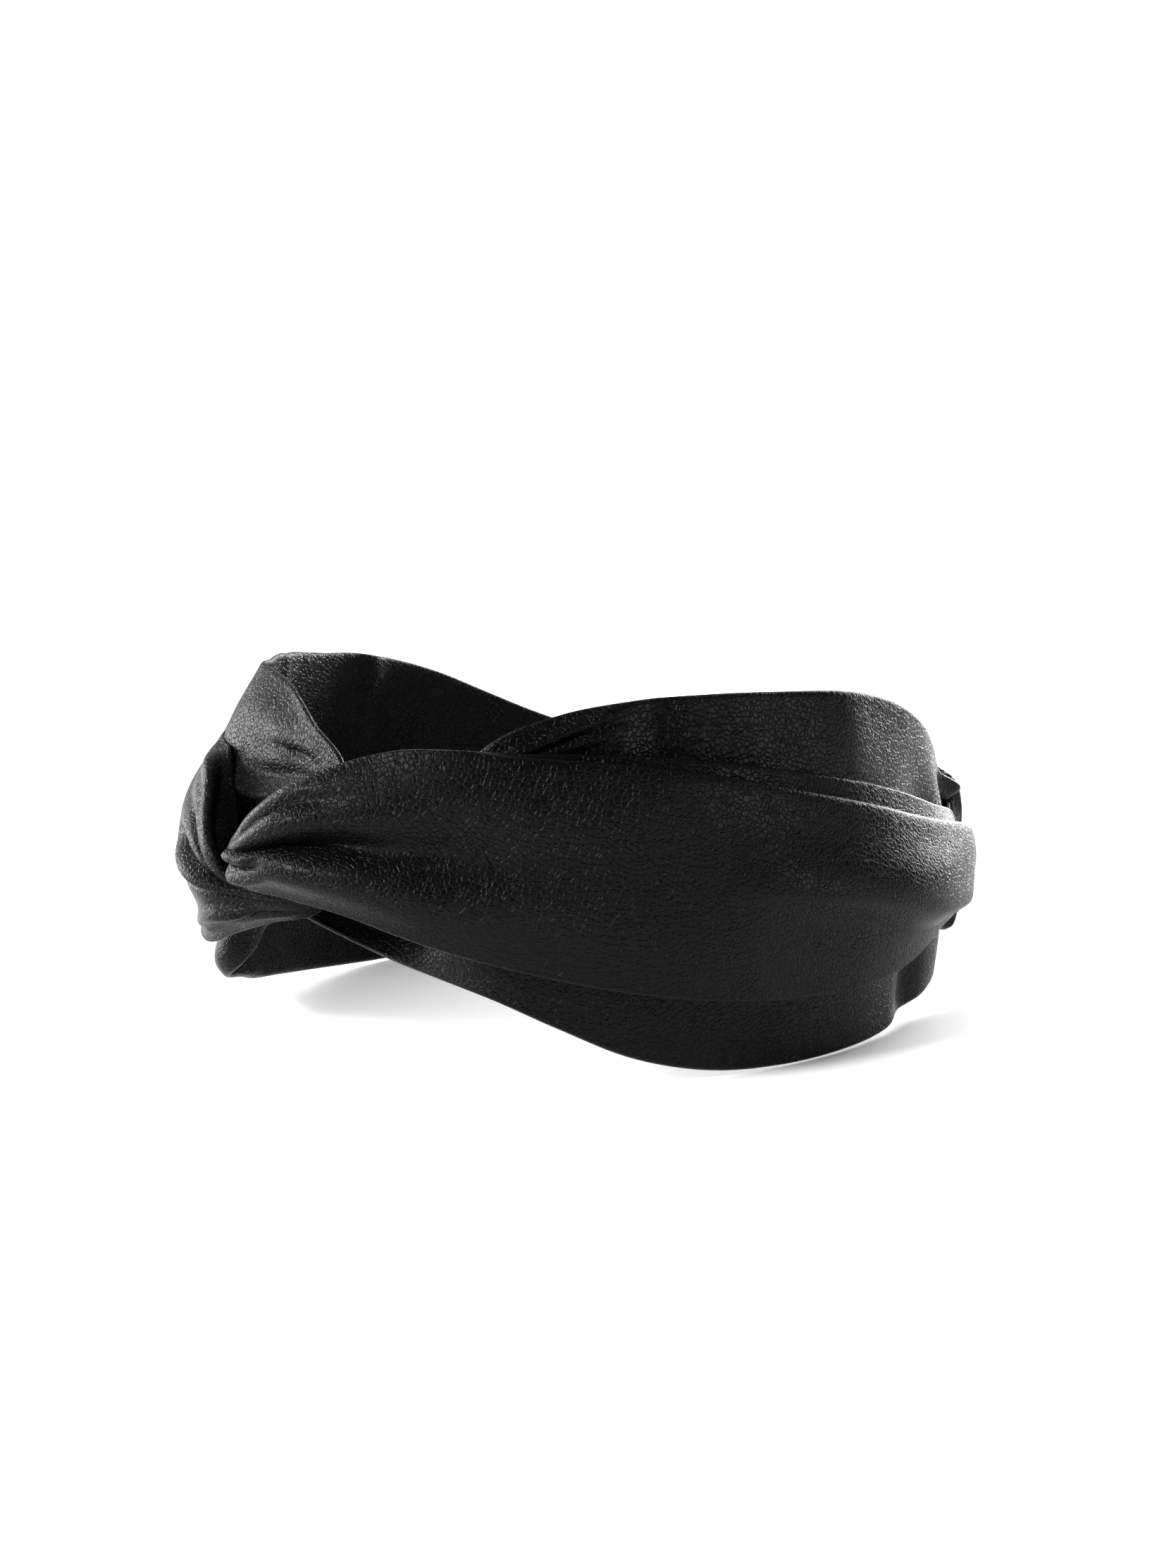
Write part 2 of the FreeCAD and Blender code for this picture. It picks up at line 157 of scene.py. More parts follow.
# The side of the white backdrop that the leather mirrors, where it fades and how bright it is.
BACKDROP_SIDE = (-0.74, 0.67, 0.0)
BACKDROP_SPREAD = (-0.1, 0.8)
BACKDROP_LEVELS = (0.05, 1.0)

# Rows of a leg: plan angle, lower edge, upper edge, crown (how far its middle bulges outwards),
# shift outwards and lean (how far the upper edge leans in and the lower one out).
LEFT_OUTER = [
    (46, 16, 39, 1, -0.3, 0), (41, 17.5, 40, 1.5, 0, 0), (33, 20.5, 43, 2, 0.5, 0),
    (24, 21, 46.5, 3, 0.8, 0), (14, 16.5, 51.5, 3.5, 1, 0), (4, 14.5, 55.7, 3, 1, 0),
    (-8, 15, 60, 2.5, 1, 0), (-18, 17, 63, 2.5, 1, 0), (-28, 20, 65, 2.5, 0.8, 0),
    (-37, 23.5, 65.5, 2.5, 0.4, 0), (-45, 27.5, 65.5, 2.5, 0, 0),
]
LEFT_INNER = [
    (-42, 18.5, 65, 1, -0.4, 0), (-34, 12.2, 70.6, 1.5, -1, 0.5), (-25, 5.5, 73, 2, -1.8, 0.5),
    (-15, 1.5, 73.5, 2, -1.8, 0.5), (-5, 0.4, 73, 2.5, -1, 0.5), (6, 0.4, 71.5, 2.5, -1, 0.5),
    (16, 1, 68, 2.5, -1, 0), (26, 3.5, 61.5, 2, -0.6, 0), (36, 8, 51.5, 1, -0.2, 0),
    (42, 11, 44.5, 0.5, -0.3, 0), (46, 13, 42, 0.3, -0.3, 0),
]
RIGHT_OUTER = [
    (46, 14, 42, 1, 0, 0), (41, 14, 44, 2.5, 0, 0), (33, 14, 47, 4, 0, 0), (24, 14.5, 50, 4, 0, 0),
    (14, 14.5, 54, 3.5, 0, 0), (4, 13.5, 58, 3, 0, 0), (-8, 12, 61, 2.5, 0, 0),
    (-18, 12, 62.5, 2.5, 0, 0), (-28, 13.5, 63, 3.5, -0.5, 0.5), (-37, 18, 63, 5, -2, 1.5),
    (-45, 20, 61.5, 7, -3.5, 2),
]
RIGHT_INNER = [
    (-39, 8, 74.5, 5, -4, 3), (-31, 4.5, 74, 3, -1.5, 3), (-24, 3, 73, 2, -0.5, 1.5),
    (-15, 1.5, 71.3, 2, 0, 0.5), (-5, 0.4, 69.4, 2.5, 0, 0), (6, 0.4, 64.3, 3, 0, 0),
    (16, 1, 57.3, 3, 0, 0), (26, 3.5, 50.8, 3, 0, 0), (36, 8, 48, 2, 0, 0), (42, 11, 46.5, 1, 0, 0),
    (46, 13, 46, 0.5, 0, 0),
]

# Each strap in the knot, section by section: five points from the lower to the upper edge.
LEFT_KNOT = [
    [(32, -73, 31), (33, -75, 39), (33, -75.5, 48), (32, -74.5, 57), (30.5, -72, 65)],
    [(24, -79, 34.5), (24, -82, 41.5), (24, -82.5, 49), (23, -81.5, 56), (22, -78, 62)],
    [(15, -84, 36.5), (15, -87, 42), (15, -88, 47.5), (14.5, -87, 53), (14, -84, 57.5)],
    [(7.5, -86, 37.3), (7, -88.5, 41), (6.5, -89.3, 44.5), (6, -88.5, 48), (6, -86, 52)],
    [(1.5, -85.5, 37.8), (0.5, -87.5, 40.5), (0, -88, 43), (0, -87, 45.5), (1, -85, 48)],
    [(-4, -80.5, 36.5), (-5.5, -80.5, 39.5), (-5.8, -80.5, 42.5), (-5.5, -80, 45.5),
     (-4, -79, 48.5)],
    [(-5, -75, 34), (-6, -73, 37), (-6.3, -71.5, 41), (-6, -69.5, 44.5), (-5, -67.5, 48)],
    [(-2, -67.5, 28), (-3, -64.5, 31), (-3.3, -62.5, 35), (-3, -61, 39), (-2, -59.5, 43)],
    [(8, -63.5, 24), (8, -59.5, 28), (8, -57.5, 33), (8, -57, 38), (8, -58, 43.5)],
    [(21, -63, 22), (21, -59.5, 28), (21, -58, 35), (21, -58, 42), (21, -60, 49)],
]
RIGHT_KNOT = [
    [(-34, -69.5, 22), (-34.3, -70.3, 29), (-36.5, -73, 40), (-36, -71, 51.5), (-33, -65, 61)],
    [(-28.5, -74.3, 22), (-27.6, -73.6, 28), (-31, -77, 38), (-30.5, -76, 50), (-28, -68, 60)],
    [(-20.8, -77.5, 22), (-20.8, -78, 27), (-22.5, -82, 36), (-20.5, -82, 48.5),
     (-23.5, -70, 58.5)],
    [(-9, -78, 26.5), (-11, -82, 30), (-13, -85, 35), (-10.5, -86, 43), (-16, -74.5, 49)],
    [(-0.5, -77, 29.5), (-2.5, -80, 31.5), (-4.5, -82.5, 34.5), (-6, -84, 38), (-8, -79, 41.5)],
    [(7, -73.5, 31), (5.5, -76, 32.5), (4, -78, 34.5), (2.5, -78.5, 36), (1, -76.5, 38)],
    [(8, -66, 36.5), (8.3, -69, 38.5), (8.3, -71.5, 40.5), (8.5, -73, 42.5), (8, -73, 45)],
    [(2, -62, 36), (2.5, -64, 42), (3.5, -66, 47.5), (7, -68.5, 53), (11, -69, 59)],
    [(-18, -66, 24.5), (-11, -65, 38), (-5, -66, 50.5), (-1.5, -68.5, 60), (-1.5, -66.5, 66.5)],
    [(-23.5, -66, 18), (-20.5, -66, 34), (-16, -67.5, 49), (-13, -69, 62), (-16.5, -60.5, 72)],
    [(-30, -65.5, 12.3), (-31.5, -67.5, 25), (-30.5, -68, 44.5), (-30.5, -66, 61),
     (-32, -55.5, 74.3)],
]

# Folds along a strap. Each row: place (in section numbers), v, height and half width. A height is
# towards the strap's outer face: outwards on the outer leg, and into the ring on the inner leg.
LEFT_FOLDS = [
    [(9.5, 0.75, 0.0, 6), (11, 0.7, 0.8, 6), (12.2, 0.75, 1.2, 4), (13.4, 0.8, 1.2, 2.4),
     (14.8, 0.7, 0, 2)],
    [(11, 0.5, 0, 3), (12.2, 0.5, -0.8, 2), (13.2, 0.62, -1.7, 1.2), (13.8, 0.66, -1.6, 1.0),
     (14.8, 0.6, 0, 1)],
    [(9.5, 0.2, 0, 7), (11, 0.22, 0.9, 6), (12.2, 0.25, 1.5, 4), (13.3, 0.3, 1.6, 2),
     (14.6, 0.3, 0, 1.5)],
    [(7, 0.05, 0, 9), (9, 0.0, -1.4, 7), (11, -0.06, -3.2, 4), (12.2, -0.08, -4.0, 2.6),
     (13.3, 0.0, -3.4, 1.4), (14.0, 0.12, -1.4, 1), (14.6, 0.2, 0, 0.8)],
    [(8, -0.5, 0, 8), (10, -0.5, 1.2, 7), (12, -0.5, 2.0, 4), (13.4, -0.45, 1.6, 2.2),
     (15, -0.4, 0, 1.6)],
    [(13.3, 0.0, 0, 0.8), (13.8, -0.12, 1.3, 0.7), (14.6, 0.05, 1.5, 0.8), (15.5, 0.1, 0, 1)],
    [(13.3, -0.3, 0, 0.7), (13.8, -0.33, -1.4, 0.6), (14.6, -0.25, -1.5, 0.6),
     (15.5, -0.2, 0, 0.8)],
    [(13.3, -0.55, 0, 0.8), (13.9, -0.6, 1.0, 0.8), (14.6, -0.55, 1.2, 0.8), (15.5, -0.5, 0, 1)],
    [(21.0, 0.8, 0, 1.5), (21.8, 0.86, -1.8, 1.0), (22.6, 0.93, -1.2, 1.0), (23.3, 1.0, 0, 1)],
    [(20.8, 0.7, 0, 1.5), (21.5, 0.74, -1.6, 1.0), (22.2, 0.8, -1.4, 1.0), (23.0, 0.86, 0, 1)],
    [(-1, 0.2, 0.4, 5), (1, 0.15, 1.2, 6), (3, 0.15, 1.6, 6), (5, 0.05, 1.4, 6), (7, 0.0, 0, 8)],
]
# Knife pleats of the left strap. Each row: place, v of the fold line, how deep the part above it
# lies, how far the parts overlap and how far the depth reaches upwards.
LEFT_STEPS = [
    [(-0.5, 0.5, 1.4, 0.8, 90), (1, 0.54, 2.2, 1.4, 90), (3, 0.6, 2.5, 1.5, 90),
     (4, 0.66, 2.5, 1.5, 90), (5, 0.73, 2.5, 1.5, 90), (6, 0.79, 2.8, 1.5, 90),
     (7, 0.83, 3.0, 1.5, 90), (8, 0.86, 2.8, 1.4, 90), (9.2, 0.92, 1.8, 0.8, 90),
     (10.2, 0.99, 0, 0, 90)],
    [(0.5, -0.9, 0, 0, 9), (2, -0.86, -1.5, 0, 9), (3.2, -0.62, -3.6, -1.2, 9),
     (4, -0.43, -4.2, -1.6, 10), (5, -0.24, -3.6, -1.4, 11), (6, -0.14, -2.0, -0.8, 12),
     (6.8, -0.1, 0, 0, 12)],
]
RIGHT_FOLDS = [
    [(11, 0.86, 0, 2), (12, 0.84, 1.2, 1.6), (13, 0.77, 2.0, 1.4), (14, 0.56, 2.0, 1.0),
     (15, 0.45, 1.4, 0.8), (16, 0.4, 0, 0.8)],
    [(11.4, 0.6, 0, 2), (12.2, 0.56, -0.8, 2), (13, 0.5, -1.2, 1.6), (14, 0.4, -1.2, 0.8),
     (15, 0.36, -0.8, 0.6), (16, 0.3, 0, 0.6)],
    [(12.4, 0.3, 0, 1.6), (13.0, 0.27, -2.4, 1.3), (14.0, 0.26, -2.6, 0.9), (15.0, 0.26, -1.6, 0.7),
     (15.8, 0.2, 0, 0.8)],
    [(12.2, 0.18, 0, 3), (13.0, 0.16, 1.5, 1.8), (14.0, 0.14, 1.8, 1.2), (15.0, 0.14, 1.0, 0.8),
     (16, 0.1, 0, 1)],
    [(11.6, 0.02, 0, 2), (12.4, 0.02, -2.0, 1.5), (13.0, 0.03, -3.0, 1.2), (14.0, 0.03, -3.0, 0.9),
     (15.0, 0.02, -1.8, 0.7), (16, 0, 0, 0.8)],
    [(11.5, -0.6, 0, 4), (13.0, -0.5, 2.2, 3.6), (14.0, -0.45, 2.2, 2.6), (15.2, -0.55, 0.8, 1.4),
     (16, -0.6, 0, 1)],
    [(13.4, -0.5, 0, 1), (14.3, -0.62, -1.3, 1.0), (15.2, -0.5, -1.0, 0.8), (16, -0.5, 0, 0.8)],
    [(18.2, 0.3, 0, 2), (19.0, 0.16, -3.4, 1.9), (20.0, 0.12, -4.6, 2.2), (21.0, 0.3, -2.6, 3),
     (22, 0.3, 0, 4)],
    [(18.6, -0.02, 0, 2), (19.3, -0.1, 1.6, 2.2), (20.0, -0.14, 3.4, 2.6), (21.0, 0.05, 2.4, 3),
     (22, 0.1, 0, 4)],
    [(18.6, -0.3, 0, 2), (19.3, -0.35, -1.6, 2.0), (20.0, -0.38, -2.0, 2.4), (21.0, -0.3, 0, 3)],
    [(18.4, 0.62, 0, 3), (19.0, 0.5, 1.2, 2.0), (20.0, 0.46, 1.0, 3), (21.0, 0.5, 0, 6)],
    [(20.2, -0.8, 0, 4), (21.0, -0.85, -2.6, 6), (21.8, -0.85, -2.6, 6), (22.8, -0.85, -1, 5),
     (23.6, -0.8, 0, 5)],
]
# Soft bulges of a strap: place, half length (in section numbers), height, v and half width in v.
LEFT_BULGES = [
    (22.7, 0.35, -1.2, 0.75, 0.3), (23.3, 0.25, 0.9, 0.8, 0.3), (25.0, 0.35, 0.8, 0.9, 0.25),
    (25.9, 0.5, -0.9, 0.85, 0.3), (27.6, 0.5, 1.3, 0.35, 0.35), (28.4, 0.35, -1.6, 0.3, 0.3),
    (29.3, 0.4, 2.0, 0.55, 0.3), (30.2, 0.5, -2.0, 0.15, 0.4), (1.9, 0.5, -0.9, 0.1, 0.35),
    (27.65, 0.4, 3.5, -0.75, 0.4), (28.6, 0.3, -0.8, -0.6, 0.5), (30.0, 0.5, -5.0, 1.0, 0.15),
]
RIGHT_BULGES = [
    (23.6, 0.22, 1.1, 0.85, 0.5), (24.3, 0.3, -0.5, 0.8, 0.5), (26.0, 0.2, 1.2, 0.8, 0.6),
    (26.7, 0.35, -0.6, 0.8, 0.5), (28.2, 0.3, 0.8, 0.7, 0.5), (25.2, 0.3, 0.4, -0.4, 0.6),
]


def smooth(knots, values, at):
    """A cubic curve through values at knots, with Catmull-Rom slopes, read at the places at."""
    knots, values, at = (np.asarray(numbers, float) for numbers in (knots, values, at))
    slopes = np.gradient(values, knots, axis=0)
    index = np.clip(np.searchsorted(knots, at, side="right") - 1, 0, len(knots) - 2)
    span = knots[index + 1] - knots[index]
    t = np.clip((at - knots[index]) / span, 0, 1)
    shape = (len(at),) + (1,) * (values.ndim - 1)
    t, span = t.reshape(shape), span.reshape(shape)
    return (
        (2 * t**3 - 3 * t**2 + 1) * values[index]
        + (t**3 - 2 * t**2 + t) * slopes[index] * span
        + (3 * t**2 - 2 * t**3) * values[index + 1]
        + (t**3 - t**2) * slopes[index + 1] * span
    )


def unit(vectors):
    """The vectors, each divided by its length."""
    return vectors / np.maximum(np.linalg.norm(vectors, axis=-1, keepdims=True), 1e-9)


def ease(x):
    """0 below 0, 1 above 1, and smooth between."""
    x = np.clip(x, 0, 1)
    return x * x * (3 - 2 * x)


def ring_point(angle, offset):
    """A plan point of the ring's left half, at an angle and an offset, and its outward way."""
    turn = math.radians(angle)
    outwards = np.array([math.cos(turn), math.sin(turn), 0.0])
    if angle <= TANGENT_ANGLE:
        return np.array([-SIDE_SHIFT, SIDE_Y, 0.0]) + (SIDE_RADIUS + offset) * outwards, outwards
    return np.array([0.0, BACK_Y, 0.0]) + (BACK_RADIUS + offset) * outwards, outwards


def leg_sections(rows, side, offset):
    """Five points across a leg at each row."""
    sections = []
    for angle, low, high, crown, shift, lean in rows:
        foot, outwards = ring_point(angle, offset)
        points = []
        for v in (-1, -0.5, 0, 0.5, 1):
            point = foot + outwards * (crown * (1 - v * v) + shift - lean * v)
            point[2] = (low + high) / 2 + v * (high - low) / 2
            points.append(point * (side, 1, 1))
        sections.append(points)
    return sections


def grid_normals(points):
    """Unit normals of a grid of points, from its own slopes."""
    along = np.gradient(points, axis=0)
    across = np.gradient(points, axis=1)
    return unit(np.cross(across, along))


def even_rows(sections):
    """Places along the sections, about STRIDE apart, in section numbers."""
    fine = np.linspace(0, len(sections) - 1, LENGTH_SAMPLES)
    middle = smooth(np.arange(len(sections)), sections[:, 2], fine)
    length = np.concatenate([[0], np.cumsum(np.linalg.norm(np.diff(middle, axis=0), axis=1))])
    count = int(length[-1] / STRIDE)
    return np.interp(np.linspace(0, length[-1], count), length, fine)


def strap_surface(side, outer_rows, knot_sections, inner_rows):
    """A strap's middle surface: a grid of points, its rows' section numbers and its columns' v."""
    outer = leg_sections(outer_rows, side, LEG_OFFSET)
    inner = leg_sections(inner_rows, side, -LEG_OFFSET)
    sections = np.array(outer + knot_sections + inner, float)
    rows = even_rows(sections)
    v = np.linspace(-1, 1, ACROSS)
    lengthwise = smooth(np.arange(len(sections)), sections, rows)
    grid = smooth([-1, -0.5, 0, 0.5, 1], lengthwise.transpose(1, 0, 2), v).transpose(1, 0, 2)
    return grid, rows, v


def read_table(table, rows):
    """The rows that a fold's table covers, and its columns read there."""
    columns = np.array(table, float).T
    inside = (rows >= columns[0, 0]) & (rows <= columns[0, -1])
    return inside, [smooth(columns[0], column, rows[inside])[:, None] for column in columns[1:]]


def add_folds(grid, rows, v, side, ridges, steps, bulges):
    """Moves a strap's surface by its folds, along its own normals and across itself."""
    normals = grid_normals(grid) * side
    across = unit(np.gradient(grid, axis=1))
    half_width = np.linalg.norm(np.diff(grid, axis=1), axis=2).sum(axis=1)[:, None] / 2
    out = np.zeros(grid.shape[:2])
    shift = np.zeros(grid.shape[:2])
    for table in ridges:
        inside, (middle, height, width) = read_table(table, rows)
        distance = (v - middle) * half_width[inside]
        out[inside] += height * np.exp(-((distance / width) ** 2))
    for table in steps:
        inside, (middle, depth, overlap, reach) = read_table(table, rows)
        distance = (v - middle) * half_width[inside]
        turn = np.tanh(distance / STEP_WIDTH)
        out[inside] -= depth * (1 + turn) / 2 * np.exp(-((np.maximum(distance, 0) / reach) ** 2))
        shift[inside] -= overlap * turn * np.exp(-((distance / OVERLAP_REACH) ** 2))
    for place, half_length, height, middle, half in bulges:
        away = ((rows[:, None] - place) / half_length) ** 2 + ((v - middle) / half) ** 2
        out += height * np.exp(-away)
    for waves, turns, start in WAVES:
        out += UNEVENNESS * np.sin(waves * rows[:, None] + start) * np.sin(turns * v + 2 * start)
    return grid + normals * out[..., None] + across * shift[..., None]


def thicken(grid, thickness, flip):
    """A closed mesh round a grid of points, with rounded side edges: vertices and faces."""
    normals = grid_normals(grid) * (-1 if flip else 1)
    v = np.linspace(-1, 1, grid.shape[1])
    rim = np.clip((np.abs(v) - RIM_START) / (1 - RIM_START), 0, 1)
    half = thickness / 2 * np.sqrt(1 - rim**2)
    front = grid + normals * half[None, :, None]
    back = grid - normals * half[None, :, None]
    loop = np.concatenate([front, back[:, -2:0:-1]], axis=1)
    rows, columns = loop.shape[:2]
    number = np.arange(rows * columns).reshape(rows, columns)
    beside = np.roll(number, -1, axis=1)
    quads = np.stack([number[:-1], beside[:-1], beside[1:], number[1:]], axis=-1).reshape(-1, 4)
    across = grid.shape[1]
    caps = []
    for row, turned in ((0, True), (rows - 1, False)):
        for column in range(across - 1):
            other = [(columns - column) % columns, columns - column - 1]
            columns_round = (column, column + 1, other[1], other[0])
            face = [number[row, place] for place in columns_round]
            face = [corner for place, corner in enumerate(face) if corner not in face[:place]]
            caps.append(face[::-1] if turned else face)
    faces = quads.tolist() + caps
    return loop.reshape(-1, 3), [face[::-1] for face in faces] if flip else faces


def make_mesh(name, points, faces):
    """An object in metres from points in millimetres."""
    mesh = bpy.data.meshes.new(name)
    mesh.from_pydata((np.asarray(points) * MM).tolist(), [], faces)
    mesh.validate()
    mesh.shade_smooth()
    piece = bpy.data.objects.new(name, mesh)
    bpy.context.scene.collection.objects.link(piece)
    return piece


def view_camera():
    """The camera: level, a little above the headband and to the wearer's left of the knot."""
    data = bpy.data.cameras.new("camera")
    data.sensor_width = CAMERA_SENSOR
    data.lens = CAMERA_LENS
    camera = bpy.data.objects.new("camera", data)
    azimuth, elevation = math.radians(CAMERA_AZIMUTH), math.radians(CAMERA_ELEVATION)
    away = Vector((
        math.sin(azimuth) * math.cos(elevation),
        -math.cos(azimuth) * math.cos(elevation),
        math.sin(elevation),
    ))
    camera.location = (Vector(CAMERA_AIM) + away * CAMERA_DISTANCE) * MM
    camera.rotation_euler = away.to_track_quat("Z", "Y").to_euler()
    bpy.context.scene.collection.objects.link(camera)
    bpy.context.scene.camera = camera


def sweep(path, radius):
    """A round cord along a path of points, closed at both ends: vertices and faces."""
    path = np.asarray(path, float)
    along = unit(np.gradient(path, axis=0))
    aside = unit(np.cross(along, np.array(CORD_ASIDE)))
    third = np.cross(along, aside)
    turns = np.linspace(0, 2 * math.pi, CORD_SIDES, endpoint=False)[None, :, None]
    ring = np.cos(turns) * aside[:, None] + np.sin(turns) * third[:, None]
    points = (path[:, None] + radius * ring).reshape(-1, 3)
    number = np.arange(len(points)).reshape(len(path), CORD_SIDES)
    beside = np.roll(number, -1, axis=1)
    quads = np.stack([number[:-1], beside[:-1], beside[1:], number[1:]], axis=-1).reshape(-1, 4)
    return points, quads[:, ::-1].tolist() + [number[0].tolist(), number[-1, ::-1].tolist()]


def superellipse(turns, half, squareness):
    """One coordinate of a rounded rectangle, from the sine or cosine of the turn."""
    return np.sign(turns) * np.abs(turns) ** squareness * half


def casing_ring(angle, around, size, gathered):
    """One ring of points round the casing at a plan angle: gathered outside, plain in the bore."""
    length = BACK_RADIUS * math.radians(BACK_ANGLE - angle)
    flat = superellipse(np.cos(around), size[0], CASING_SQUARENESS[0])
    tall = superellipse(np.sin(around), size[1], CASING_SQUARENESS[1])
    wander = sum(
        far * np.sin(tall * upwards + length * along + start)
        for far, upwards, along, start in GATHER_WANDERS
    )
    wave = 2 * math.pi / GATHER_PITCH
    gather = np.sin((length + wander) * wave)
    along, follow, lean = FINE_GATHER_TURNS
    finer = np.sin((length * along + wander * follow + tall * lean) * wave)
    tuck = 1 - ease((angle - CASING_END_ANGLE) / TUCK_SPREAD)
    bore = 1 if gathered else 1 - BORE_TUCK
    slim, low = (1 - tuck * (1 - share * bore) for share in TUCK_SHARE)
    swell, rim = 0.0, 1.0
    if gathered:
        swell = GATHER_DEPTH * (gather + FINE_GATHER_DEPTH * finer - GATHER_SINK) * (1 - tuck)
        rim = 1 - GATHER_RIM * (1 + gather + FINE_GATHER_RIM * finer)
    outwards = flat * slim + swell * superellipse(flat / size[0], 1, GATHER_EASE)
    heights = BACK_HEIGHT + tall * rim * low
    return [ring_point(angle, out)[0] + (0, 0, height) for out, height in zip(outwards, heights)]


def back_casing(side):
    """Half of the gathered cover of the elastic: a flat tube with tight upright gathers."""
    angles = np.append(np.arange(BACK_ANGLE, CASING_END_ANGLE, -CASING_STEP), CASING_END_ANGLE)
    around = np.linspace(0, 2 * math.pi, CASING_AROUND, endpoint=False)
    outer = np.array([casing_ring(angle, around, CASING_HALF, True) for angle in angles])
    inner = np.array([casing_ring(angle, around, CASING_BORE_HALF, False) for angle in angles])
    closed = np.concatenate([outer, inner[::-1]], axis=0) * (side, 1, 1)
    number = np.arange(closed.shape[0] * closed.shape[1]).reshape(closed.shape[:2])
    beside, ahead = np.roll(number, -1, axis=1), np.roll(number, -1, axis=0)
    across = np.roll(beside, -1, axis=0)
    quads = np.stack([number, beside, across, ahead], axis=-1).reshape(-1, 4)
    return closed.reshape(-1, 3), (quads if side > 0 else quads[:, ::-1]).tolist()


def back_elastic(side):
    """Half of the woven elastic, from the middle of the back into the strap's end."""
    angles = np.linspace(BACK_ANGLE, ELASTIC_END_ANGLE, ELASTIC_GRID[0])
    heights = BACK_HEIGHT + np.linspace(-1, 1, ELASTIC_GRID[1]) * ELASTIC_HALF_HEIGHT
    line = [ring_point(angle, 0)[0] for angle in angles]
    grid = np.array([[foot + (0, 0, height) for height in heights] for foot in line]) * (side, 1, 1)
    return thicken(grid, ELASTIC_THICKNESS, side > 0)


def join_stitches(outer_face, inner_face, levels):
    """One thread, in and out through the needle holes of a strap's end."""
    corners = []
    for number, level in enumerate(levels):
        faces = [outer_face(level), inner_face(level)]
        corners += faces[::-1] if number % 2 == 0 else faces
    steps = np.linspace(0, 1, THREAD_STEPS, endpoint=False)
    legs = list(zip(corners, corners[1:]))
    path = [start + (end - start) * step for start, end in legs for step in steps]
    path = np.array(path + [corners[-1]])
    for _ in range(THREAD_SMOOTHING):
        path[1:-1] = (path[:-2] + 2 * path[1:-1] + path[2:]) / 4
    return sweep(path, THREAD_RADIUS)


def face_point(grid, normals, row, level, lift):
    """A point on a strap's face, at a row and a height, lifted along the surface's normal."""
    column = int(np.argmin(np.abs(grid[row, :, 2] - level)))
    return grid[row, column] + normals[row, column] * lift


def node_maker(material):
    """A function that adds a node to a material, with its settings and inputs."""
    tree = material.node_tree

    def add(kind, inputs=None, **settings):
        node = tree.nodes.new(kind)
        for key, value in settings.items():
            setattr(node, key, value)
        for key, value in (inputs or {}).items():
            if isinstance(value, bpy.types.NodeSocket):
                tree.links.new(value, node.inputs[key])
            else:
                node.inputs[key].default_value = value
        return node

    return add


def new_material(name):
    """A material and its shader, ready for settings."""
    material = bpy.data.materials.new(name)
    material.use_nodes = True
    return material, material.node_tree.nodes["Principled BSDF"]


def faux_leather():
    """Soft black faux leather with a fine pebbled grain, and painted shade in the grain's furrows.
    """
    material, shader = new_material("soft black faux leather")
    add = node_maker(material)
    links = material.node_tree.links
    place = add("ShaderNodeTexCoord").outputs["Object"]
    wander = add("ShaderNodeTexNoise", {"Vector": place, "Scale": GRAIN_WANDER, "Detail": 2.0})
    reach = {0: wander.outputs["Color"], 1: WANDER_REACH}
    shifted = add("ShaderNodeVectorMath", reach, operation="MULTIPLY")
    shift = {0: place, 1: shifted.outputs[0]}
    moved = add("ShaderNodeVectorMath", shift, operation="ADD").outputs[0]
    pebbles = {"Vector": moved, "Scale": GRAIN_CELLS}
    cells = add("ShaderNodeTexVoronoi", pebbles, feature="DISTANCE_TO_EDGE")
    edges = {"Value": cells.outputs["Distance"], "From Max": FURROW_WIDTH}
    furrow = add("ShaderNodeMapRange", edges, interpolation_type="SMOOTHSTEP").outputs[0]
    cloud = {"Vector": place, "Scale": GRAIN_PATCHES, "Detail": 3.0}
    patches = add("ShaderNodeTexNoise", cloud).outputs["Fac"]
    folding = {"Vector": place, "Scale": GRAIN_CREASES, "Detail": 4.0, "Roughness": 0.6}
    creases = add("ShaderNodeTexNoise", folding).outputs["Fac"]
    grain = add("ShaderNodeMath", {0: creases, 1: furrow}, operation="MULTIPLY")
    grain = add("ShaderNodeMath", {0: grain.outputs[0], 1: patches}, operation="MULTIPLY")
    bump = add("ShaderNodeBump", {"Height": grain.outputs[0], **GRAIN_BUMP})
    # Base colour: black, darker in the grain's furrows, where shade is painted into the colour.
    tone_and_furrow_shade = add("ShaderNodeMapRange", {"Value": furrow, **LEATHER_TONE_AND_FURROW_SHADE})
    colour = add("ShaderNodeCombineColor", {"Red": tone_and_furrow_shade.outputs[0], "Green": tone_and_furrow_shade.outputs[0]})
    blue = add("ShaderNodeMath", {0: tone_and_furrow_shade.outputs[0], 1: LEATHER_BLUE}, operation="MULTIPLY")
    links.new(blue.outputs[0], colour.inputs["Blue"])
    sheen = add("ShaderNodeMapRange", {"Value": patches, **LEATHER_ROUGHNESS})
    links.new(colour.outputs[0], shader.inputs["Base Color"])
    links.new(sheen.outputs[0], shader.inputs["Roughness"])
    links.new(bump.outputs[0], shader.inputs["Normal"])
    shader.inputs["Specular IOR Level"].default_value = LEATHER_SPECULAR
    return material


def woven_elastic():
    """Black woven elastic: fine ribs along it."""
    material, shader = new_material("black woven elastic")
    add = node_maker(material)
    place = add("ShaderNodeTexCoord").outputs["Object"]
    weave = {"Vector": place, "Scale": 260.0, "Distortion": 0.6}
    ribs = add("ShaderNodeTexWave", weave, bands_direction="Z")
    bump = add("ShaderNodeBump", {"Height": ribs.outputs["Fac"], **ELASTIC_BUMP})
    material.node_tree.links.new(bump.outputs[0], shader.inputs["Normal"])
    shader.inputs["Base Color"].default_value = ELASTIC_COLOUR
    shader.inputs["Roughness"].default_value = 0.8
    return material


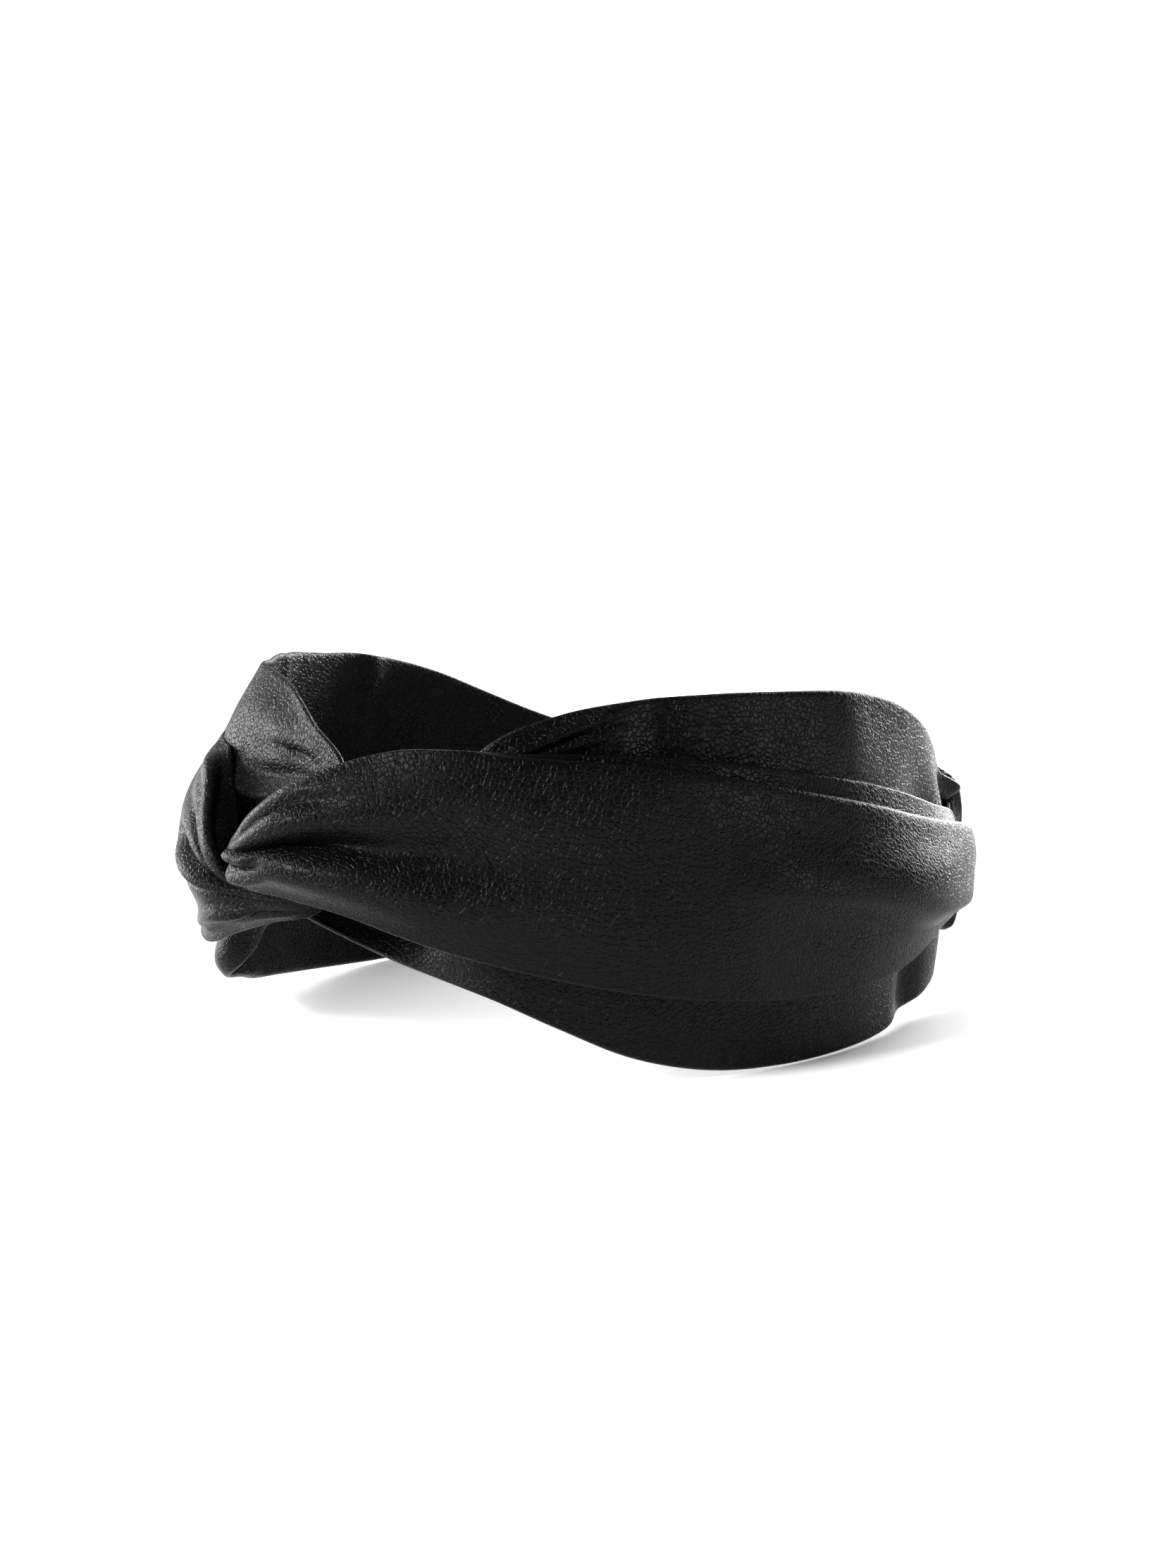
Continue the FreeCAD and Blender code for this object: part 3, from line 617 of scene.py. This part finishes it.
def sewing_thread():
    """Black sewing thread, slightly glossy."""
    material, shader = new_material("black sewing thread")
    add = node_maker(material)
    place = add("ShaderNodeTexCoord").outputs["Object"]
    twist = add("ShaderNodeTexNoise", {"Vector": place, "Scale": 2500.0})
    bump = add("ShaderNodeBump", {"Height": twist.outputs["Fac"], **THREAD_BUMP})
    material.node_tree.links.new(bump.outputs[0], shader.inputs["Normal"])
    shader.inputs["Base Color"].default_value = THREAD_COLOUR
    shader.inputs["Roughness"].default_value = 0.55
    return material


def floor_paper():
    """Plain white paper."""
    material, shader = new_material("white paper")
    shader.inputs["Base Color"].default_value = PAPER_COLOUR
    shader.inputs["Roughness"].default_value = 0.9
    shader.inputs["Specular IOR Level"].default_value = 0.1
    return material


def white_backdrop():
    """A white world. The leather mirrors it bright only on the side behind the headband."""
    world = bpy.data.worlds.new("world")
    bpy.context.scene.world = world
    world.use_nodes = True
    nodes, link = world.node_tree.nodes, world.node_tree.links.new
    backdrop = nodes["Background"]
    backdrop.inputs["Color"].default_value = (1, 1, 1, 1)
    direction = nodes.new("ShaderNodeTexCoord")
    behind = nodes.new("ShaderNodeVectorMath")
    behind.operation = "DOT_PRODUCT"
    behind.inputs[1].default_value = BACKDROP_SIDE
    level = nodes.new("ShaderNodeMapRange")
    level.inputs["From Min"].default_value, level.inputs["From Max"].default_value = BACKDROP_SPREAD
    level.inputs["To Min"].default_value, level.inputs["To Max"].default_value = BACKDROP_LEVELS
    link(direction.outputs["Generated"], behind.inputs[0])
    link(behind.outputs["Value"], level.inputs["Value"])
    seen = nodes.new("ShaderNodeLightPath")
    brighter = nodes.new("ShaderNodeMath")
    brighter.operation = "MAXIMUM"
    link(level.outputs[0], brighter.inputs[0])
    link(seen.outputs["Is Camera Ray"], brighter.inputs[1])
    link(brighter.outputs[0], backdrop.inputs["Strength"])


def softbox(name, place, aim, size, power, mirrored):
    """A rectangular soft light at a place, turned towards a point, in metres and watts."""
    light = bpy.data.lights.new(name, "AREA")
    light.shape = "RECTANGLE"
    light.size, light.size_y = size
    light.energy = power
    lamp = bpy.data.objects.new(name, light)
    lamp.visible_glossy = mirrored
    lamp.location = place
    lamp.rotation_euler = (Vector(place) - Vector(aim)).to_track_quat("Z", "Y").to_euler()
    bpy.context.scene.collection.objects.link(lamp)


view_camera()
leather = faux_leather()
elastic_cloth = woven_elastic()
thread = sewing_thread()

for side, name, outer_rows, knot_rows, inner_rows, folds, steps, bulges in (
    (1, "left", LEFT_OUTER, LEFT_KNOT, LEFT_INNER, LEFT_FOLDS, LEFT_STEPS, LEFT_BULGES),
    (-1, "right", RIGHT_OUTER, RIGHT_KNOT, RIGHT_INNER, RIGHT_FOLDS, [], RIGHT_BULGES),
):
    body = f"{name}_side"
    grid, rows, v = strap_surface(side, outer_rows, knot_rows, inner_rows)
    grid = add_folds(grid, rows, v, side, folds, steps, bulges)
    strap = make_mesh(f"{name}_strap", *thicken(grid, THICKNESS, side < 0))
    strap.data.materials.append(leather)
    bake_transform(strap)
    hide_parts(f"{name}_outer_leg", f"{name}_inner_leg", f"{name}_knot_loop")

    normals = grid_normals(grid) * side
    seam = join_stitches(
        lambda level: face_point(grid, normals, STITCH_ROW, level, THREAD_LIFT),
        lambda level: face_point(grid, normals, -1 - STITCH_ROW, level, -THREAD_LIFT),
        BACK_HEIGHT + STITCH_PITCH * (np.arange(STITCH_COUNT) - STITCH_COUNT // 2),
    )
    stitches = make_mesh(f"{name}_stitches", *seam)
    stitches.data.materials.append(thread)
    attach(stitches, body)
    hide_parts(f"{name}_join_stitches")

    casing = make_mesh(f"{name}_casing", *back_casing(side))
    casing.data.materials.append(leather)
    elastic = make_mesh(f"{name}_elastic", *back_elastic(side))
    elastic.data.materials.append(elastic_cloth)
    for piece, node, finish, flat in (
        (casing, "back_casing", "faux_leather", CASING_FLAT),
        (elastic, "back_elastic", "elastic", ELASTIC_FLAT),
    ):
        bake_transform(piece)
        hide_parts(node)

corners = [(-1, -1, 0), (1, -1, 0), (1, 1, 0), (-1, 1, 0)]
floor = make_mesh("floor", np.array(corners) * FLOOR_HALF, [(0, 1, 2, 3)])
floor.data.materials.append(floor_paper())
white_backdrop()
for light in LIGHTS:
    softbox(*light)
bpy.context.scene.view_settings.view_transform = "Standard"
